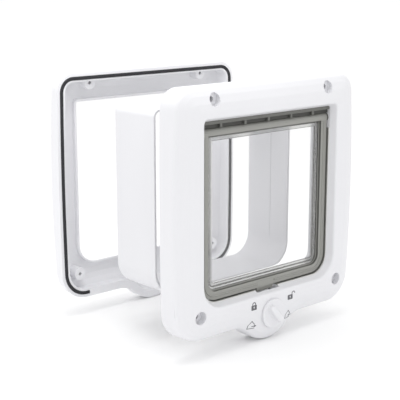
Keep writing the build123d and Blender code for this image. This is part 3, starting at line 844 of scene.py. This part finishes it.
class CATFLAP_OT_signs(Operator):
    """Prints the padlock and house signs round the knob"""
    bl_idname = "catflap.signs"
    bl_label = "Printed signs"

    # Outlines in sign heights from the middle of a sign
    keyhole = [(0.04, -0.34), (0.06, -0.19), (0.1, -0.13), (0.07, -0.05), (0, -0.02)]
    padlock = [(0, -0.5), (0.38, -0.5), (0.44, -0.44), (0.44, 0.06), (0.38, 0.12), (0, 0.12)]
    house_wall = [
        (0.34, -0.42), (0.34, -0.5), (-0.6, -0.5), (-0.6, 0.0), (-0.13, 0.5), (0.34, 0.0), (0.34, -0.02),
    ]
    arrow = [(-0.36, 0.05), (0.02, 0.05), (0.02, 0.17), (0.36, 0)]
    arrow_place = (0.3, -0.22)
    stroke = 0.08
    shackle_rise = 0.22
    shackle_outer = (0.3, 0.28)
    shackle_inner = (0.19, 0.17)
    shackle_foot = 0.13
    open_swing = 0.56
    open_foot = 0.19
    bend_steps = 12

    def execute(self, context):
        sizes = context.scene.catflap_sizes
        low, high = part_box("lock_knob")
        knob = (low + high) / 2
        lock_row = knob.z + sizes.lock_sign_rise
        house_row = knob.z - sizes.house_sign_drop
        signs = (
            (self.lock(0, self.shackle_foot), -sizes.sign_reach, lock_row),
            (self.lock(self.open_swing, self.open_foot), sizes.sign_reach, lock_row),
            (self.house(1), -sizes.sign_reach, house_row),
            (self.house(-1), sizes.sign_reach, house_row),
        )
        work = bmesh.new()
        for loops, across, row in signs:
            for group in loops:
                self.ink(work, group, sizes.sign_size, Vector((across, low.y, row)))
        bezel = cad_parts["interior_frame"].data
        face = BVHTree.FromPolygons([v.co for v in bezel.vertices], [p.vertices for p in bezel.polygons])
        self.press(work, face, sizes.ink_depth)
        mesh = bpy.data.meshes.new("printed_signs")
        work.to_mesh(mesh)
        work.free()
        mesh.materials.append(sign_ink(context.scene.catflap_colours))
        settle(link("printed_signs", mesh), ROOM_BODY, "grey_plastic")
        return {"FINISHED"}

    def lock(self, swing, foot):
        """Loops of a padlock; swing shifts its shackle aside, and foot is the height of the free leg."""
        body = self.padlock + self.mirrored(self.padlock[1:-1])
        hole = self.keyhole + self.mirrored(self.keyhole[:-1])
        outer = self.bow(swing, *self.shackle_outer)
        inner = self.bow(swing, *self.shackle_inner)[::-1]
        left = [(outer[-1][0], self.shackle_foot), (inner[0][0], self.shackle_foot)]
        shackle = [(outer[0][0], foot), *outer, *left, *inner, (inner[-1][0], foot)]
        return [[body, hole], [shackle]]

    def bow(self, swing, half_width, rise):
        """One edge of a shackle's bow, from right to left."""
        bend = [math.pi * step / self.bend_steps for step in range(self.bend_steps + 1)]
        return [
            (swing + half_width * math.cos(a), self.shackle_rise + rise * math.sin(a)) for a in bend
        ]

    def house(self, way):
        """Loops of a house and an arrow through its open side; way is 1 for out and -1 for in."""
        head = self.arrow + [(x, -y) for x, y in reversed(self.arrow[:-1])]
        side, height = self.arrow_place
        pointer = [(way * x + side, y + height) for x, y in head]
        return [[self.stroked(self.house_wall)], [pointer]]

    def mirrored(self, points):
        """The same points on the other side, in the opposite order."""
        return [(-x, y) for x, y in reversed(points)]

    def stroked(self, points):
        """Outline of a line of even width with mitred corners."""
        left = []
        right = []
        for index, here in enumerate(points):
            before = Vector(here) - Vector(points[max(index - 1, 0)])
            after = Vector(points[min(index + 1, len(points) - 1)]) - Vector(here)
            before = (before if before.length else after).normalized()
            after = (after if after.length else before).normalized()
            mean = (before + after).normalized()
            across = Vector((-mean.y, mean.x)) * self.stroke / 2 / mean.dot(after)
            left.append(tuple(Vector(here) + across))
            right.append(tuple(Vector(here) - across))
        return left + right[::-1]

    def ink(self, work, loops, size, place):
        """Fills one outline, with its holes, upright at a place."""
        rims = []
        for loop in loops:
            verts = [work.verts.new(place + size * Vector((x, 0, y))) for x, y in loop]
            rims += [work.edges.new(pair) for pair in zip(verts, verts[1:] + verts[:1])]
        bmesh.ops.triangle_fill(work, use_beauty=True, edges=rims)

    def press(self, work, face, depth):
        """Lays the flat signs on the face and gives them a thickness."""
        bmesh.ops.subdivide_edges(work, edges=work.edges, cuts=1, use_grid_fill=True)
        bmesh.ops.triangulate(work, faces=work.faces)
        shell = bmesh.ops.extrude_face_region(work, geom=work.faces[:])
        sunk = {item for item in shell["geom"] if isinstance(item, bmesh.types.BMVert)}
        for vert in work.verts:
            hit = face.ray_cast(vert.co, Vector((0, 1, 0)))[0]
            vert.co = hit + Vector((0, depth / 2 if vert in sunk else -depth, 0))
        bmesh.ops.recalc_face_normals(work, faces=work.faces)


class CATFLAP_OT_stage(Operator):
    """Sets up the pale floor, the soft lights and the camera"""
    bl_idname = "catflap.stage"
    bl_label = "Studio"

    # The camera stands on the photograph's line of sight, and camera_back points from the object to it
    camera_place = (-0.66895, -0.66959, 0.21173)
    camera_back = (-0.6505, -0.7273, 0.2192)
    lens = 91.90
    sensor = 36.0
    world_light = 1.02
    floor_gap = 0.5 * MM

    # Name, place, target, width and power of each softbox
    softboxes = (
        ("top_softbox", (-0.15, 0.05, 0.9), (0, 0.1, 0), 0.9, 1.4),
        ("gap_softbox", (-0.1, 0.04, 0.34), (0, 0.165, 0.03), 0.25, 0.42),
    )

    def execute(self, context):
        scene = context.scene
        half = scene.catflap_sizes.floor_width / 2
        level = CAD_BOX[0].z - self.floor_gap
        mesh = bpy.data.meshes.new("studio_floor")
        corners = [(-half, -half, level), (half, -half, level), (half, half, level), (-half, half, level)]
        mesh.from_pydata(corners, [], [(0, 1, 2, 3)])
        mesh.materials.append(studio_floor(scene.catflap_colours))
        link("studio_floor", mesh)
        for softbox in self.softboxes:
            self.light(*softbox)
        world = bpy.data.worlds.new("studio")
        world.use_nodes = True
        backdrop = world.node_tree.nodes["Background"]
        backdrop.inputs["Color"].default_value = (1, 1, 1, 1)
        backdrop.inputs["Strength"].default_value = self.world_light
        scene.world = world
        camera = bpy.data.cameras.new("camera")
        camera.lens = self.lens
        camera.sensor_width = self.sensor
        scene.camera = self.aimed("camera", camera, self.camera_place, -Vector(self.camera_back))
        scene.view_settings.view_transform = "Standard"
        return {"FINISHED"}

    def light(self, name, place, target, size, power):
        """Adds one square softbox that faces a point."""
        lamp = bpy.data.lights.new(name, "AREA")
        lamp.size = size
        lamp.energy = power
        self.aimed(name, lamp, place, Vector(target) - Vector(place))

    def aimed(self, name, data, place, way):
        """Sets a lamp or a camera at a place, looking one way."""
        holder = link(name, data)
        holder.location = place
        holder.rotation_mode = "QUATERNION"
        holder.rotation_quaternion = way.to_track_quat("-Z", "Y")
        return holder


class CATFLAP_PT_panel(Panel):
    """Lists the steps that dress the cat flap"""
    bl_idname = "CATFLAP_PT_panel"
    bl_label = "Cat Flap"
    bl_space_type = "VIEW_3D"
    bl_region_type = "UI"
    bl_category = "Cat Flap"

    def draw(self, context):
        column = self.layout.column()
        for step in STEPS:
            column.operator(step.bl_idname)
        for group in (context.scene.catflap_colours, context.scene.catflap_sizes):
            for name in group.__annotations__:
                column.prop(group, name)


STEPS = (
    CATFLAP_OT_shells, CATFLAP_OT_flap, CATFLAP_OT_beads, CATFLAP_OT_lock, CATFLAP_OT_gasket,
    CATFLAP_OT_pile, CATFLAP_OT_screws, CATFLAP_OT_signs, CATFLAP_OT_stage,
)
CLASSES = (CatFlapColours, CatFlapSizes, *STEPS, CATFLAP_PT_panel)


def register():
    """Registers the classes and the scene's settings."""
    for cls in CLASSES:
        bpy.utils.register_class(cls)
    bpy.types.Scene.catflap_colours = PointerProperty(type=CatFlapColours)
    bpy.types.Scene.catflap_sizes = PointerProperty(type=CatFlapSizes)


def unregister():
    """Removes the settings and the classes."""
    del bpy.types.Scene.catflap_sizes
    del bpy.types.Scene.catflap_colours
    for cls in reversed(CLASSES):
        bpy.utils.unregister_class(cls)


def main():
    """Runs every step in order."""
    register()
    for step in STEPS:
        group, name = step.bl_idname.split(".")
        getattr(getattr(bpy.ops, group), name)()


if __name__ == "__main__":
    main()
